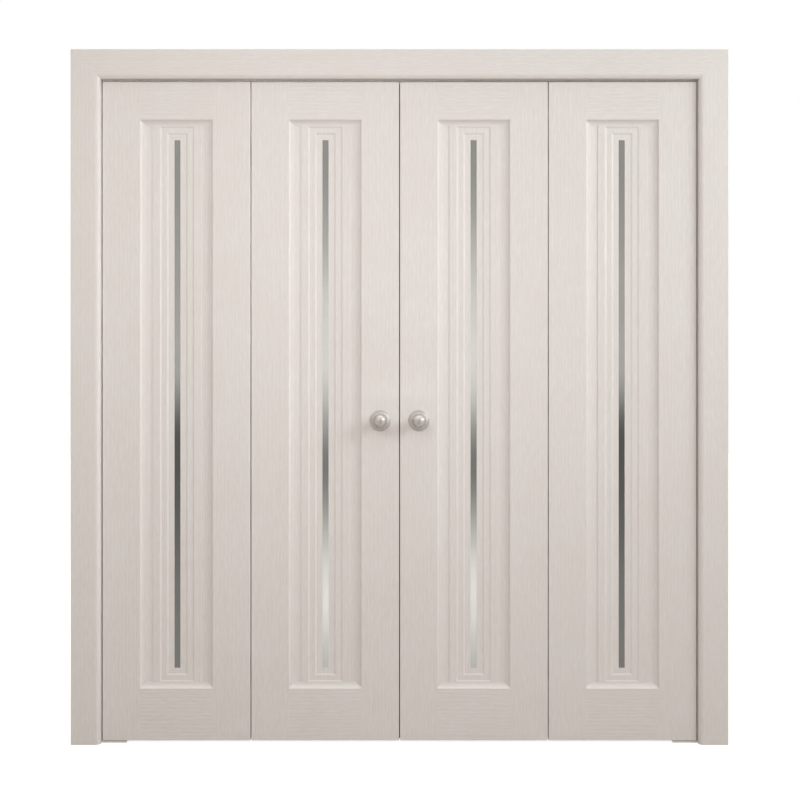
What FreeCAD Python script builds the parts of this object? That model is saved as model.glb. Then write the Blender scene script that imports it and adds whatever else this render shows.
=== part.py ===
import FreeCAD, Part
import math
import os
import re
import Sketcher

# Four-leaf bifold closet door in its jamb and casing.
# Frame: X to the right, Y to the back, Z up. The origin lies on the floor line, in the middle
# of the width and of the overall depth. The leaves fold out towards -Y.

os.makedirs("parts", exist_ok=True)
doc = FreeCAD.newDocument("bifold_closet_door")
sheet = doc.addObject("Spreadsheet::Sheet", "Sizes")

# Driving sizes, millimetres.
driving = {
    # leaves and the gaps round them
    "leaf_wide": 456,
    "leaf_high": 2032,
    "leaf_thick": 35,
    "leaf_ease": 1.5,         # rounding of the long outer corners
    "leaf_set": 1,            # leaf face behind the wall line
    "jamb_gap": 4,
    "fold_gap": 3,
    "meeting_gap": 3,
    "floor_gap": 8,
    "head_gap": 6.5,          # leaf to casing
    "track_gap": 3,
    # stiles, rails and their coves
    "stile_wide": 116,        # flat part of the stile
    "top_rail_high": 116,     # flat part of the rail
    "bottom_rail_high": 160,
    "cove_wide": 37,          # scooped edge of a stile
    "cove_drop": 9.5,
    "scoop_wide": 5,          # its steep outer part
    "scoop_drop": 5.8,
    "scoop_radius": 8,
    "cove_flat": 5,           # level strip beside the panel
    "bead_wide": 17,          # moulded edge of a rail
    "groove_wide": 8,
    "groove_deep": 10,
    "tongue_short": 1,        # tongue stops short of the groove's floor
    "tongue_play": 0.1,
    # panel with sunk steps round a mirror strip
    "field_drop": 8,
    "step_drop": 1.8,
    "outer_step_half": 53,
    "inner_step_half": 31.7,
    "strip_half": 9.5,
    "outer_step_end": 19,     # distances from the recess end
    "inner_step_end": 38.5,
    "strip_end": 60,
    "strip_thick": 1.6,
    "strip_play": 0.1,
    # jambs and casings
    "jamb_thick": 20,
    "jamb_deep": 116,
    "housing_deep": 8,
    "fixing_radius": 2.5,
    "fixing_low": 250,
    "fixing_rise": 1500,
    "fixing_apart": 70,
    "casing_wide": 89,
    "casing_thick": 16,
    "bull_wide": 14,          # rounded inner edge
    "bull_drop": 6.5,
    "casing_ease": 2,
    # track and snubber
    "track_wide": 29,
    "track_high": 25,
    "track_wall": 1.6,
    "track_end_gap": 1,
    "snubber_long": 50,
    "snubber_wide": 20,
    "snubber_high": 15,
    "snubber_round": 4,
    # pivots and guides
    "pivot_in": 38,           # pivot line from the leaf's edge
    "pin_radius": 4.75,
    "pin_play": 0.08,
    "pin_tip": 1.5,
    "collar_radius": 6,
    "collar_high": 10,
    "seat_play": 0.2,
    "sleeve_radius": 8,
    "sleeve_long": 55,
    "sleeve_lip": 1.5,
    "flange_radius": 11,
    "flange_thick": 1.5,
    "foot_sleeve_long": 40,
    "foot_flange_thick": 1,
    "spring_radius": 5.2,
    "spring_wire": 1.4,
    "top_bracket_up": 5,      # plate above the track's lower edge
    "top_bracket_long": 56,
    "top_bracket_thick": 2.5,
    "top_bracket_play": 0.15,
    "pin_over": 8,            # pin above the bracket's plate
    "roller_up": 7,
    "roller_radius": 10.5,
    "roller_high": 12,
    "roller_edge": 1.5,
    "axle_radius": 3,
    "axle_play": 0.06,
    "axle_head_radius": 5,
    "axle_head_high": 2,
    # bottom bracket and its pin
    "foot_plate_top": 5.5,
    "foot_plate_thick": 2,
    "foot_plate_wide": 30,
    "foot_plate_reach": 36,   # past the pivot line
    "foot_hole_pitch": 14,
    "foot_leg_wide": 34,
    "foot_leg_high": 60,
    "foot_leg_thick": 2.5,
    "foot_leg_play": 0.1,
    "foot_screw_radius": 2.2,
    "foot_screw_low": 24,
    "foot_screw_top": 45,
    "hex_radius": 8.6,
    "foot_pin_clear": 1,      # tip above the floor
    "foot_pin_up": 36,
    # hinges
    "hinge_out": 4.5,         # pin line behind the back faces
    "hinge_plate_wide": 28,
    "hinge_plate_thick": 1.6,
    "hinge_root": 0.8,
    "barrel_radius": 4.2,
    "barrel_clear": 0.4,
    "barrel_high": 20,
    "barrel_play": 0.3,
    "hinge_pin_radius": 1.95,
    "hinge_pin_play": 0.05,
    "hinge_end": 180,         # lowest and highest hinge from the leaf's ends
    # knobs
    "knob_z": 995,
    "knob_reach": 56,
    "knob_radius": 21,
    "neck_radius": 9,
    "rose_radius": 32.5,
    "rose_rim": 3,
    "rose_edge": 1,
    "rose_step_radius": 28,
    "rose_step_high": 4.5,
    "rose_crown_radius": 13,
    "rose_crown_high": 8,
    "spigot_radius": 5,
    "neck_flare": 2,
}

# Sizes worked out from the driving ones.
derived = {
    "opening_wide": "4*leaf_wide + 2*jamb_gap + 2*fold_gap + meeting_gap",
    "opening_half": "opening_wide/2",
    "leaf_top": "floor_gap + leaf_high",
    "leaf_half": "leaf_thick/2",
    "casing_low": "leaf_top + head_gap",
    "casing_top": "casing_low + casing_wide",
    "track_low": "leaf_top + track_gap",
    "head_low": "track_low + track_high",
    "track_long": "opening_wide - 2*track_end_gap",
    "wall_y": "(knob_reach - leaf_set - jamb_deep)/2",
    "leaf_y": "wall_y + leaf_set + leaf_half",
    "recess_wide": "leaf_wide - 2*stile_wide",
    "recess_high": "leaf_high - top_rail_high - bottom_rail_high",
    "cove_run": "cove_wide - scoop_wide - cove_flat",
    "cove_fall": "cove_drop - scoop_drop",
    "cove_radius": "(cove_run^2 + cove_fall^2)/(2*cove_fall)",
    "bull_radius": "(bull_wide^2 + bull_drop^2)/(2*bull_drop)",
    "bead_radius": "(bead_wide^2 + field_drop^2)/(2*field_drop)",
    "tongue_half": "groove_wide/2 - tongue_play",
    "tongue_long": "groove_deep - tongue_short",
    "field_half": "recess_wide/2 - cove_wide",
    "strip_sink": "step_drop + strip_thick",
    "strip_face": "leaf_half - field_drop - 3*step_drop",
    "strip_high": "recess_high - 2*strip_end",
    "sleeve_bore": "collar_radius + pin_play",
    "pin_bore": "pin_radius + pin_play",
    "collar_top": "-sleeve_lip - seat_play",
    "collar_low": "collar_top - collar_high",
    "plate_low": "track_gap + top_bracket_up",
    "roller_low": "track_gap + roller_up",
    "roller_top": "roller_low + roller_high",
    "hinge_high": "3*barrel_high + 2*barrel_play",
    "hinge_y": "leaf_y + leaf_half + hinge_out",
    "hinge_pin_bore": "hinge_pin_radius + hinge_pin_play",
    "barrel_notch": "barrel_radius + barrel_clear",
    "pivot_x": "opening_half - jamb_gap - pivot_in",
    "guide_x": "meeting_gap/2 + pivot_in",
    "fold_x": "opening_half - jamb_gap - leaf_wide - fold_gap/2",
    "knob_x": "meeting_gap/2 + stile_wide/2",
    "knob_centre": "knob_reach - knob_radius",
}

names = set(driving) | set(derived)


def cells(text):
    """Expression with every size name turned into its cell of the sheet."""
    return re.sub(r"[a-z]\w*", lambda m: "Sizes." + m.group() if m.group() in names else m.group(), text)


def fill_sheet():
    row = 1
    for name, number in driving.items():
        sheet.set(f"A{row}", name)
        sheet.set(f"B{row}", str(number))
        sheet.setAlias(f"B{row}", name)
        row += 1
    for name, rule in derived.items():
        sheet.set(f"A{row}", name)
        sheet.setAlias(f"B{row}", name)
        sheet.set(f"B{row}", "=" + rule)
        row += 1
    doc.recompute()


def value(text):
    return float(sheet.evalExpression(cells(text)))


# Helpers for bodies, sketches and features.

sub_parts = []


def sub_part(thing, node):
    thing.Label = node
    sub_parts.append(thing)
    return thing


def place(thing, x="0", y="0", z="0", axis=(0, 0, 1), turn=0):
    thing.Placement = FreeCAD.Placement(FreeCAD.Vector(), FreeCAD.Rotation(FreeCAD.Vector(*axis), turn))
    thing.setExpression("Placement.Base.x", cells(x))
    thing.setExpression("Placement.Base.y", cells(y))
    thing.setExpression("Placement.Base.z", cells(z))
    return thing


def new_body(name):
    return doc.addObject("PartDesign::Body", name)


def origin_plane(body, role):
    for feature in body.Origin.OriginFeatures:
        if feature.Role == role:
            return feature
    raise ValueError(role)


def new_sketch(body, name, role, lift):
    sketch = body.newObject("Sketcher::SketchObject", name)
    sketch.AttachmentSupport = [(origin_plane(body, role), "")]
    sketch.MapMode = "FlatFace"
    sketch.setExpression("AttachmentOffset.Base.z", cells(lift))
    return sketch


def bind(sketch, kind, members, expression):
    index = sketch.addConstraint(Sketcher.Constraint(kind, *members, value(expression)))
    sketch.setExpression(f"Constraints[{index}]", cells(expression))


def add_loop(sketch, corners, side=1):
    """Closed loop of lines and arcs. A corner is (x, y), or (x, y, radius, way) where an arc
    runs on to the next corner: way 1 turns left and way -1 turns right. side -1 mirrors it."""
    first = sketch.GeometryCount
    points = []
    for corner in corners:
        points.append(FreeCAD.Vector(side * value(corner[0]), value(corner[1]), 0))
    ends = []
    count = len(corners)
    for index, corner in enumerate(corners):
        start = points[index]
        stop = points[(index + 1) % count]
        if len(corner) == 2:
            sketch.addGeometry(Part.LineSegment(start, stop), False)
            ends.append((1, 2))
            continue
        radius = value(corner[2])
        way = corner[3] * side
        chord = stop - start
        left = FreeCAD.Vector(-chord.y, chord.x, 0).normalize()
        reach = math.sqrt(max(radius ** 2 - (chord.Length / 2) ** 2, 0))
        centre = (start + stop) * 0.5 + left * (way * reach)
        circle = Part.Circle(centre, FreeCAD.Vector(0, 0, 1), radius)
        low, high = (start, stop) if way > 0 else (stop, start)
        angles = [math.atan2(p.y - centre.y, p.x - centre.x) for p in (low, high)]
        sketch.addGeometry(Part.ArcOfCircle(circle, angles[0], angles[1]), False)
        ends.append((1, 2) if way > 0 else (2, 1))
    for index in range(count):
        after = (index + 1) % count
        joint = (first + index, ends[index][1], first + after, ends[after][0])
        sketch.addConstraint(Sketcher.Constraint("Coincident", *joint))
    for index, corner in enumerate(corners):
        point = (-1, 1, first + index, ends[index][0])
        mirrored = corner[0] if side == 1 else f"-({corner[0]})"
        bind(sketch, "DistanceX", point, mirrored)
        bind(sketch, "DistanceY", point, corner[1])
        if len(corner) > 2:
            bind(sketch, "Radius", (first + index,), corner[2])


def add_circle(sketch, x, y, radius):
    centre = FreeCAD.Vector(value(x), value(y), 0)
    index = sketch.addGeometry(Part.Circle(centre, FreeCAD.Vector(0, 0, 1), value(radius)), False)
    bind(sketch, "DistanceX", (-1, 1, index, 3), x)
    bind(sketch, "DistanceY", (-1, 1, index, 3), y)
    bind(sketch, "Radius", (index,), radius)


def rectangle(x0, y0, x1, y1):
    return [(x0, y0), (x1, y0), (x1, y1), (x0, y1)]


def loop_sketch(body, name, role, corners, lift="0", side=1):
    sketch = new_sketch(body, name, role, lift)
    add_loop(sketch, corners, side)
    return sketch


def circle_sketch(body, name, role, circles, lift="0"):
    sketch = new_sketch(body, name, role, lift)
    for x, y, radius in circles:
        add_circle(sketch, x, y, radius)
    return sketch


def extrude(body, kind, name, sketch, length, symmetric=False, reverse=False, taper=0):
    feature = body.newObject("PartDesign::" + kind, name)
    feature.Profile = sketch
    feature.setExpression("Length", cells(length))
    if symmetric:
        feature.SideType = "Symmetric"
    feature.Reversed = reverse
    feature.TaperAngle = taper
    return feature


def revolve(body, name, sketch):
    feature = body.newObject("PartDesign::Revolution", name)
    feature.Profile = sketch
    feature.ReferenceAxis = (sketch, ["V_Axis"])
    feature.Angle = 360
    return feature


def mirror(body, name, features, role):
    feature = body.newObject("PartDesign::Mirrored", name)
    feature.Originals = features
    feature.MirrorPlane = (origin_plane(body, role), [""])
    body.Tip = feature
    return feature


def box(name, length, width, height):
    block = doc.addObject("Part::Box", name)
    block.setExpression("Length", cells(length))
    block.setExpression("Width", cells(width))
    block.setExpression("Height", cells(height))
    return block


def group(node, members):
    """One node made of several separate solids."""
    compound = doc.addObject("Part::Compound", node)
    compound.Links = members
    return sub_part(compound, node)


def copy_of(original, name, x="0", y="0", z="0"):
    link = doc.addObject("App::Link", name)
    link.LinkedObject = original
    return place(link, x, y, z)


# Leaves: stile and rail frames with a scooped inner edge.

def stile(node, x, turn, top_bore=None, foot_bore=None):
    """Stile on its outer edge: flat face, deep cove, and the groove that takes rails and panel."""
    body = new_body(node)
    inner = "stile_wide + cove_wide"
    steep = "stile_wide + scoop_wide"
    half = "groove_wide/2"
    corners = [
        ("leaf_ease", "-leaf_half"),
        ("stile_wide", "-leaf_half", "scoop_radius", -1),
        (steep, "scoop_drop - leaf_half", "cove_radius", -1),
        (inner + " - cove_flat", "cove_drop - leaf_half"),
        (inner, "cove_drop - leaf_half"),
        (inner, "-" + half),
        (inner + " - groove_deep", "-" + half),
        (inner + " - groove_deep", half),
        (inner, half),
        (inner, "leaf_half - cove_drop"),
        (inner + " - cove_flat", "leaf_half - cove_drop", "cove_radius", -1),
        (steep, "leaf_half - scoop_drop", "scoop_radius", -1),
        ("stile_wide", "leaf_half"),
        ("leaf_ease", "leaf_half", "leaf_ease", 1),
        ("0", "leaf_half - leaf_ease"),
        ("0", "leaf_ease - leaf_half", "leaf_ease", 1),
    ]
    section = loop_sketch(body, node + "_section", "XY_Plane", corners)
    extrude(body, "Pad", node + "_length", section, "leaf_high")
    if top_bore:
        circle = [("pivot_in", "0", "sleeve_radius")]
        mouth = circle_sketch(body, node + "_top_mouth", "XY_Plane", circle, lift="leaf_high")
        extrude(body, "Pocket", node + "_top_bore", mouth, top_bore)
    if foot_bore:
        circle = [("pivot_in", "0", "sleeve_radius")]
        mouth = circle_sketch(body, node + "_foot_mouth", "XY_Plane", circle)
        extrude(body, "Pocket", node + "_foot_bore", mouth, foot_bore, reverse=True)
    place(body, x, "leaf_y", "floor_gap", turn=turn)
    return sub_part(body, node)


def rail(node, x, z, flat, upside_down):
    """Rail whose ends are coped over the coves of the stiles, with tongues into their grooves."""
    body = new_body(node)
    wide = "recess_wide"
    shoulder = "cove_wide - cove_flat"
    tongue = "cove_wide - tongue_long"
    corners = [
        ("0", "-leaf_half"),
        (wide, "-leaf_half", "scoop_radius", 1),
        (f"{wide} - scoop_wide", "scoop_drop - leaf_half", "cove_radius", 1),
        (f"{wide} - ({shoulder})", "cove_drop - leaf_half"),
        (f"{wide} - cove_wide", "cove_drop - leaf_half"),
        (f"{wide} - cove_wide", "-tongue_half"),
        (f"{wide} - ({tongue})", "-tongue_half"),
        (f"{wide} - ({tongue})", "tongue_half"),
        (f"{wide} - cove_wide", "tongue_half"),
        (f"{wide} - cove_wide", "leaf_half - cove_drop"),
        (f"{wide} - ({shoulder})", "leaf_half - cove_drop", "cove_radius", 1),
        (f"{wide} - scoop_wide", "leaf_half - scoop_drop", "scoop_radius", 1),
        (wide, "leaf_half"),
        ("0", "leaf_half", "scoop_radius", 1),
        ("scoop_wide", "leaf_half - scoop_drop", "cove_radius", 1),
        (shoulder, "leaf_half - cove_drop"),
        ("cove_wide", "leaf_half - cove_drop"),
        ("cove_wide", "tongue_half"),
        (tongue, "tongue_half"),
        (tongue, "-tongue_half"),
        ("cove_wide", "-tongue_half"),
        ("cove_wide", "cove_drop - leaf_half"),
        (shoulder, "cove_drop - leaf_half", "cove_radius", 1),
        ("scoop_wide", "scoop_drop - leaf_half", "scoop_radius", 1),
    ]
    section = loop_sketch(body, node + "_section", "XY_Plane", corners)
    high = flat + " + bead_wide"
    extrude(body, "Pad", node + "_height", section, high)
    bead = [
        ("-leaf_half", flat, "bead_radius", 1),
        ("field_drop - leaf_half", high),
        ("-leaf_half", high),
    ]
    edge = loop_sketch(body, node + "_bead", "YZ_Plane", bead)
    moulded = extrude(body, "Pocket", node + "_moulded_edge", edge, "2*leaf_wide", symmetric=True)
    mirror(body, node + "_back_edge", [moulded], "XZ_Plane")
    slot = rectangle("-groove_wide/2", high + " - groove_deep", "groove_wide/2", high)
    groove = loop_sketch(body, node + "_groove", "YZ_Plane", slot)
    extrude(body, "Pocket", node + "_panel_groove", groove, "2*leaf_wide", symmetric=True)
    if upside_down:
        place(body, x, "leaf_y", z, axis=(1, 0, 0), turn=180)
    else:
        place(body, x, "leaf_y", z)
    return sub_part(body, node)


def panel(node, x):
    """Panel: a tongued board, a raised field and three sunk steps down to the strip, on both faces."""
    body = new_body(node)
    field_low = "bead_wide"
    field_top = "recess_high - bead_wide"
    wide = "field_half + tongue_long"
    board = rectangle("-(" + wide + ")", field_low + " - tongue_long", wide, field_top + " + tongue_long")
    sketch = loop_sketch(body, node + "_board", "XZ_Plane", board)
    extrude(body, "Pad", node + "_tongue", sketch, "2*tongue_half", symmetric=True)
    half = "field_half - tongue_play"
    face = rectangle("-(" + half + ")", field_low + " + tongue_play", half, field_top + " - tongue_play")
    sketch = loop_sketch(body, node + "_face", "XZ_Plane", face)
    extrude(body, "Pad", node + "_field", sketch, "leaf_thick - 2*field_drop", symmetric=True)
    sunk = []
    steps = [
        ("outer", "outer_step_half", "outer_step_end", "step_drop", 0, -70),
        ("inner", "inner_step_half", "inner_step_end", "step_drop", 1, -70),
        ("seat", "strip_half + strip_play", "strip_end - strip_play", "strip_sink", 2, 0),
    ]
    for name, half, end, deep, level, taper in steps:
        loop = rectangle("-(" + half + ")", end, half, "recess_high - (" + end + ")")
        lift = f"leaf_half - field_drop - {level}*step_drop"
        sketch = loop_sketch(body, f"{node}_{name}", "XZ_Plane", loop, lift=lift)
        sunk.append(extrude(body, "Pocket", f"{node}_{name}_sunk", sketch, deep, taper=taper))
    mirror(body, node + "_back_steps", sunk, "XZ_Plane")
    place(body, x, "leaf_y", "floor_gap + bottom_rail_high")
    return sub_part(body, node)


def mirror_strips(node, x):
    members = []
    for name, y in (("front", "-strip_face"), ("back", "strip_face - strip_thick")):
        strip = box(f"{node}_{name}", "2*strip_half", "strip_thick", "strip_high")
        members.append(place(strip, "-strip_half", y, "strip_end"))
    compound = group(node, members)
    return place(compound, x, "leaf_y", "floor_gap + bottom_rail_high")


def leaf(name, left, pivot_edge=None, guide_edge=None):
    """Five joinery pieces and the strips. pivot_edge and guide_edge name the bored stile."""
    edges = {"left": (left, 0), "right": (left + " + leaf_wide", 180)}
    for edge, (x, turn) in edges.items():
        top_bore = "sleeve_long" if edge in (pivot_edge, guide_edge) else None
        foot_bore = "foot_sleeve_long" if edge == pivot_edge else None
        stile(f"{name}_{edge}_stile", x, turn, top_bore, foot_bore)
    recess = left + " + stile_wide"
    middle = left + " + leaf_wide/2"
    rail(name + "_bottom_rail", recess, "floor_gap", "bottom_rail_high", False)
    rail(name + "_top_rail", recess, "leaf_top", "top_rail_high", True)
    panel(name + "_panel", middle)
    mirror_strips(name + "_mirror_strips", middle)


def leaves():
    outer_left = "jamb_gap - opening_half"
    leaf("left_pivot_leaf", outer_left, pivot_edge="left")
    leaf("left_lead_leaf", outer_left + " + leaf_wide + fold_gap", guide_edge="right")
    leaf("right_lead_leaf", "meeting_gap/2", guide_edge="left")
    leaf("right_pivot_leaf", "meeting_gap/2 + leaf_wide + fold_gap", pivot_edge="right")


# Jambs and casings.

def side_jamb(node, side):
    """Jamb board with a housing for the head and a shallow recess for the bottom bracket's leg."""
    body = new_body(node)
    board = rectangle("0", "0", "jamb_thick", "jamb_deep")
    section = loop_sketch(body, node + "_section", "XY_Plane", board, side=side)
    extrude(body, "Pad", node + "_length", section, "head_low + jamb_thick")
    housing = rectangle("0", "head_low", "housing_deep", "head_low + jamb_thick")
    sketch = loop_sketch(body, node + "_housing", "XZ_Plane", housing, side=side)
    extrude(body, "Pocket", node + "_head_housing", sketch, "jamb_deep")
    line = "leaf_set + leaf_half"
    half = "(foot_leg_wide/2 + foot_leg_play)"
    recess = rectangle(f"{line} - {half}", "0", f"{line} + {half}", "foot_leg_high + foot_leg_play")
    sketch = loop_sketch(body, node + "_leg", "YZ_Plane", recess)
    deep = "foot_leg_thick + foot_leg_play"
    extrude(body, "Pocket", node + "_leg_recess", sketch, deep, reverse=side > 0)
    holes = []
    for y in ("-", "+"):
        for z in ("fixing_low", "fixing_low + fixing_rise"):
            holes.append((f"jamb_deep/2 {y} fixing_apart/2", z, "fixing_radius"))
    sketch = circle_sketch(body, node + "_fixings", "YZ_Plane", holes)
    extrude(body, "Pocket", node + "_fixing_holes", sketch, "3*jamb_thick", symmetric=True)
    place(body, f"{side}*opening_half", "wall_y", "0")
    return sub_part(body, node)


def head_jamb():
    board = box("head_jamb", "opening_wide + 2*housing_deep", "jamb_deep", "jamb_thick")
    place(board, "-opening_half - housing_deep", "wall_y", "head_low")
    return sub_part(board, "head_jamb")


def side_casing(node, side):
    body = new_body(node)
    corners = [
        ("0", "bull_drop - casing_thick", "bull_radius", 1),
        ("bull_wide", "-casing_thick"),
        ("casing_wide - casing_ease", "-casing_thick", "casing_ease", 1),
        ("casing_wide", "casing_ease - casing_thick"),
        ("casing_wide", "0"),
        ("0", "0"),
    ]
    section = loop_sketch(body, node + "_section", "XY_Plane", corners, side=side)
    extrude(body, "Pad", node + "_length", section, "casing_top")
    waste = [("0", "casing_low"), ("casing_wide", "casing_top"), ("0", "casing_top")]
    sketch = loop_sketch(body, node + "_waste", "XZ_Plane", waste, side=side)
    extrude(body, "Pocket", node + "_mitre", sketch, "3*casing_thick", symmetric=True)
    place(body, f"{side}*opening_half", "wall_y", "0")
    return sub_part(body, node)


def head_casing():
    body = new_body("casing_head")
    corners = [
        ("bull_drop - casing_thick", "0"),
        ("0", "0"),
        ("0", "casing_wide"),
        ("casing_ease - casing_thick", "casing_wide", "casing_ease", 1),
        ("-casing_thick", "casing_wide - casing_ease"),
        ("-casing_thick", "bull_wide", "bull_radius", 1),
    ]
    section = loop_sketch(body, "casing_head_section", "YZ_Plane", corners)
    extrude(body, "Pad", "casing_head_length", section, "opening_wide + 2*casing_wide", symmetric=True)
    waste = [
        ("opening_half", "0"),
        ("opening_half + casing_wide", "0"),
        ("opening_half + casing_wide", "casing_wide"),
    ]
    sketch = loop_sketch(body, "casing_head_waste", "XZ_Plane", waste)
    mitre = extrude(body, "Pocket", "casing_head_mitre", sketch, "3*casing_thick", symmetric=True)
    mirror(body, "casing_head_other_mitre", [mitre], "YZ_Plane")
    place(body, "0", "wall_y", "casing_low")
    return sub_part(body, "casing_head")


# Track, snubber and brackets.

def top_track():
    """Open channel: a web and the two walls that the rollers run between."""
    wall_high = "track_high - track_wall"
    strips = [
        ("web", "0", wall_high, "track_wide", "track_wall"),
        ("front_wall", "0", "0", "track_wall", wall_high),
        ("back_wall", "track_wide - track_wall", "0", "track_wall", wall_high),
    ]
    members = []
    for name, y, z, wide, high in strips:
        strip = box("top_track_" + name, "track_long", wide, high)
        members.append(place(strip, "-track_long/2", y, z))
    return place(group("top_track", members), "0", "leaf_y - track_wide/2", "track_low")


def track_snubber():
    """Rubber stop under the track's web, between the two guide rollers."""
    body = new_body("track_snubber")
    corners = [
        ("snubber_round - snubber_long/2", "-snubber_high"),
        ("snubber_long/2 - snubber_round", "-snubber_high", "snubber_round", 1),
        ("snubber_long/2", "snubber_round - snubber_high"),
        ("snubber_long/2", "0"),
        ("-snubber_long/2", "0"),
        ("-snubber_long/2", "snubber_round - snubber_high", "snubber_round", 1),
    ]
    section = loop_sketch(body, "track_snubber_side", "XZ_Plane", corners)
    extrude(body, "Pad", "track_snubber_width", section, "snubber_wide", symmetric=True)
    place(body, "0", "leaf_y", "head_low - track_wall")
    return sub_part(body, "track_snubber")


def top_bracket(node, side):
    """Folded socket that hangs from the track's web; its plate takes the top pivot pin."""
    body = new_body(node)
    half = "track_wide/2 - track_wall - top_bracket_play"
    wall = "top_bracket_thick"
    high = "track_high - track_wall - top_bracket_up"
    corners = [
        ("-(" + half + ")", "0"),
        (half, "0"),
        (half, high),
        (half + " - " + wall, high),
        (half + " - " + wall, wall),
        ("-(" + half + " - " + wall + ")", wall),
        ("-(" + half + " - " + wall + ")", high),
        ("-(" + half + ")", high),
    ]
    section = loop_sketch(body, node + "_section", "YZ_Plane", corners)
    extrude(body, "Pad", node + "_length", section, "top_bracket_long", symmetric=True)
    hole = circle_sketch(body, node + "_hole", "XY_Plane", [("0", "0", "pin_bore")])
    extrude(body, "Pocket", node + "_socket", hole, "2*top_bracket_thick", reverse=True)
    place(body, f"{side}*pivot_x", "leaf_y", "track_low + top_bracket_up")
    return sub_part(body, node)


def bottom_bracket(node, side):
    """Raised floor plate with a row of pivot holes, turned up into a leg let into the jamb."""
    body = new_body(node)
    half = "foot_plate_wide/2"
    corners = [
        ("-" + half, "0"),
        ("foot_plate_thick - " + half, "0"),
        ("foot_plate_thick - " + half, "foot_plate_top - foot_plate_thick"),
        (half + " - foot_plate_thick", "foot_plate_top - foot_plate_thick"),
        (half + " - foot_plate_thick", "0"),
        (half, "0"),
        (half, "foot_plate_top"),
        ("-" + half, "foot_plate_top"),
    ]
    to_jamb = "jamb_gap + pivot_in"
    start = f"{side}*({to_jamb} + foot_leg_thick)"
    section = loop_sketch(body, node + "_section", "YZ_Plane", corners, lift=start)
    length = to_jamb + " + foot_leg_thick + foot_plate_reach"
    extrude(body, "Pad", node + "_plate", section, length, reverse=side > 0)
    leg = rectangle("-foot_leg_wide/2", "0", "foot_leg_wide/2", "foot_leg_high")
    sketch = loop_sketch(body, node + "_leg", "YZ_Plane", leg, lift=f"{side}*({to_jamb})")
    extrude(body, "Pad", node + "_upright", sketch, "foot_leg_thick", reverse=side < 0)
    holes = [(f"{step}*foot_hole_pitch", "0", "pin_bore") for step in (-1, 0, 1)]
    sketch = circle_sketch(body, node + "_row", "XY_Plane", holes)
    extrude(body, "Pocket", node + "_pivot_holes", sketch, "2*foot_plate_top", reverse=True)
    holes = [("0", level, "foot_screw_radius") for level in ("foot_screw_low", "foot_screw_top")]
    sketch = circle_sketch(body, node + "_screws", "YZ_Plane", holes, lift=f"{side}*({to_jamb})")
    extrude(body, "Pocket", node + "_screw_holes", sketch, "3*foot_leg_thick", symmetric=True)
    place(body, f"{side}*pivot_x", "leaf_y", "0")
    return sub_part(body, node)


# Pivots, guides and rollers.

def turned(name, corners):
    body = new_body(name)
    sketch = loop_sketch(body, name + "_half", "XZ_Plane", corners)
    revolve(body, name + "_turned", sketch)
    return body


def plunger_sleeve(name):
    """Flanged bush with an inner lip that keeps the spring-loaded pin in."""
    return turned(name, [
        ("sleeve_bore", "-sleeve_long"),
        ("sleeve_radius", "-sleeve_long"),
        ("sleeve_radius", "0"),
        ("flange_radius", "0"),
        ("flange_radius", "flange_thick"),
        ("pin_bore", "flange_thick"),
        ("pin_bore", "-sleeve_lip"),
        ("sleeve_bore", "-sleeve_lip"),
    ])


def foot_sleeve(name):
    return turned(name, [
        ("pin_bore", "-foot_flange_thick"),
        ("flange_radius", "-foot_flange_thick"),
        ("flange_radius", "0"),
        ("sleeve_radius", "0"),
        ("sleeve_radius", "foot_sleeve_long"),
        ("pin_bore", "foot_sleeve_long"),
    ])


def pivot_sleeves(node, side):
    top = place(plunger_sleeve(node + "_top"), z="leaf_top")
    foot = place(foot_sleeve(node + "_foot"), z="floor_gap")
    return place(group(node, [top, foot]), f"{side}*pivot_x", "leaf_y")


def guide_sleeve(node, side):
    body = place(plunger_sleeve(node), f"{side}*guide_x", "leaf_y", "leaf_top")
    return sub_part(body, node)


def top_pivot_pin(node, side):
    tip = "plate_low + top_bracket_thick + pin_over"
    body = turned(node, [
        ("0", "collar_low"),
        ("collar_radius", "collar_low"),
        ("collar_radius", "collar_top"),
        ("pin_radius", "collar_top"),
        ("pin_radius", tip + " - pin_tip"),
        ("pin_radius - pin_tip", tip),
        ("0", tip),
    ])
    place(body, f"{side}*pivot_x", "leaf_y", "leaf_top")
    return sub_part(body, node)


def guide_pin(node, side):
    """Spring-loaded pin whose upper end is the roller's axle, with a head over the roller."""
    shoulder = "roller_low - seat_play"
    head = "roller_top + seat_play"
    body = turned(node, [
        ("0", "collar_low"),
        ("collar_radius", "collar_low"),
        ("collar_radius", "collar_top"),
        ("pin_radius", "collar_top"),
        ("pin_radius", shoulder),
        ("axle_radius", shoulder),
        ("axle_radius", head),
        ("axle_head_radius", head),
        ("axle_head_radius", head + " + axle_head_high"),
        ("0", head + " + axle_head_high"),
    ])
    place(body, f"{side}*guide_x", "leaf_y", "leaf_top")
    return sub_part(body, node)


def guide_roller(node, side):
    bore = "axle_radius + axle_play"
    body = turned(node, [
        (bore, "0"),
        ("roller_radius", "0"),
        ("roller_radius", "roller_high - roller_edge"),
        ("roller_radius - roller_edge", "roller_high"),
        (bore, "roller_high"),
    ])
    place(body, f"{side}*guide_x", "leaf_y", "leaf_top + roller_low")
    return sub_part(body, node)


def pin_spring(node, x):
    """Compression spring between the pin's collar and the floor of the bore, as its envelope."""
    body = turned(node, [
        ("spring_radius - spring_wire", "-sleeve_long"),
        ("spring_radius", "-sleeve_long"),
        ("spring_radius", "collar_low - seat_play"),
        ("spring_radius - spring_wire", "collar_low - seat_play"),
    ])
    place(body, x, "leaf_y", "leaf_top")
    return sub_part(body, node)


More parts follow.
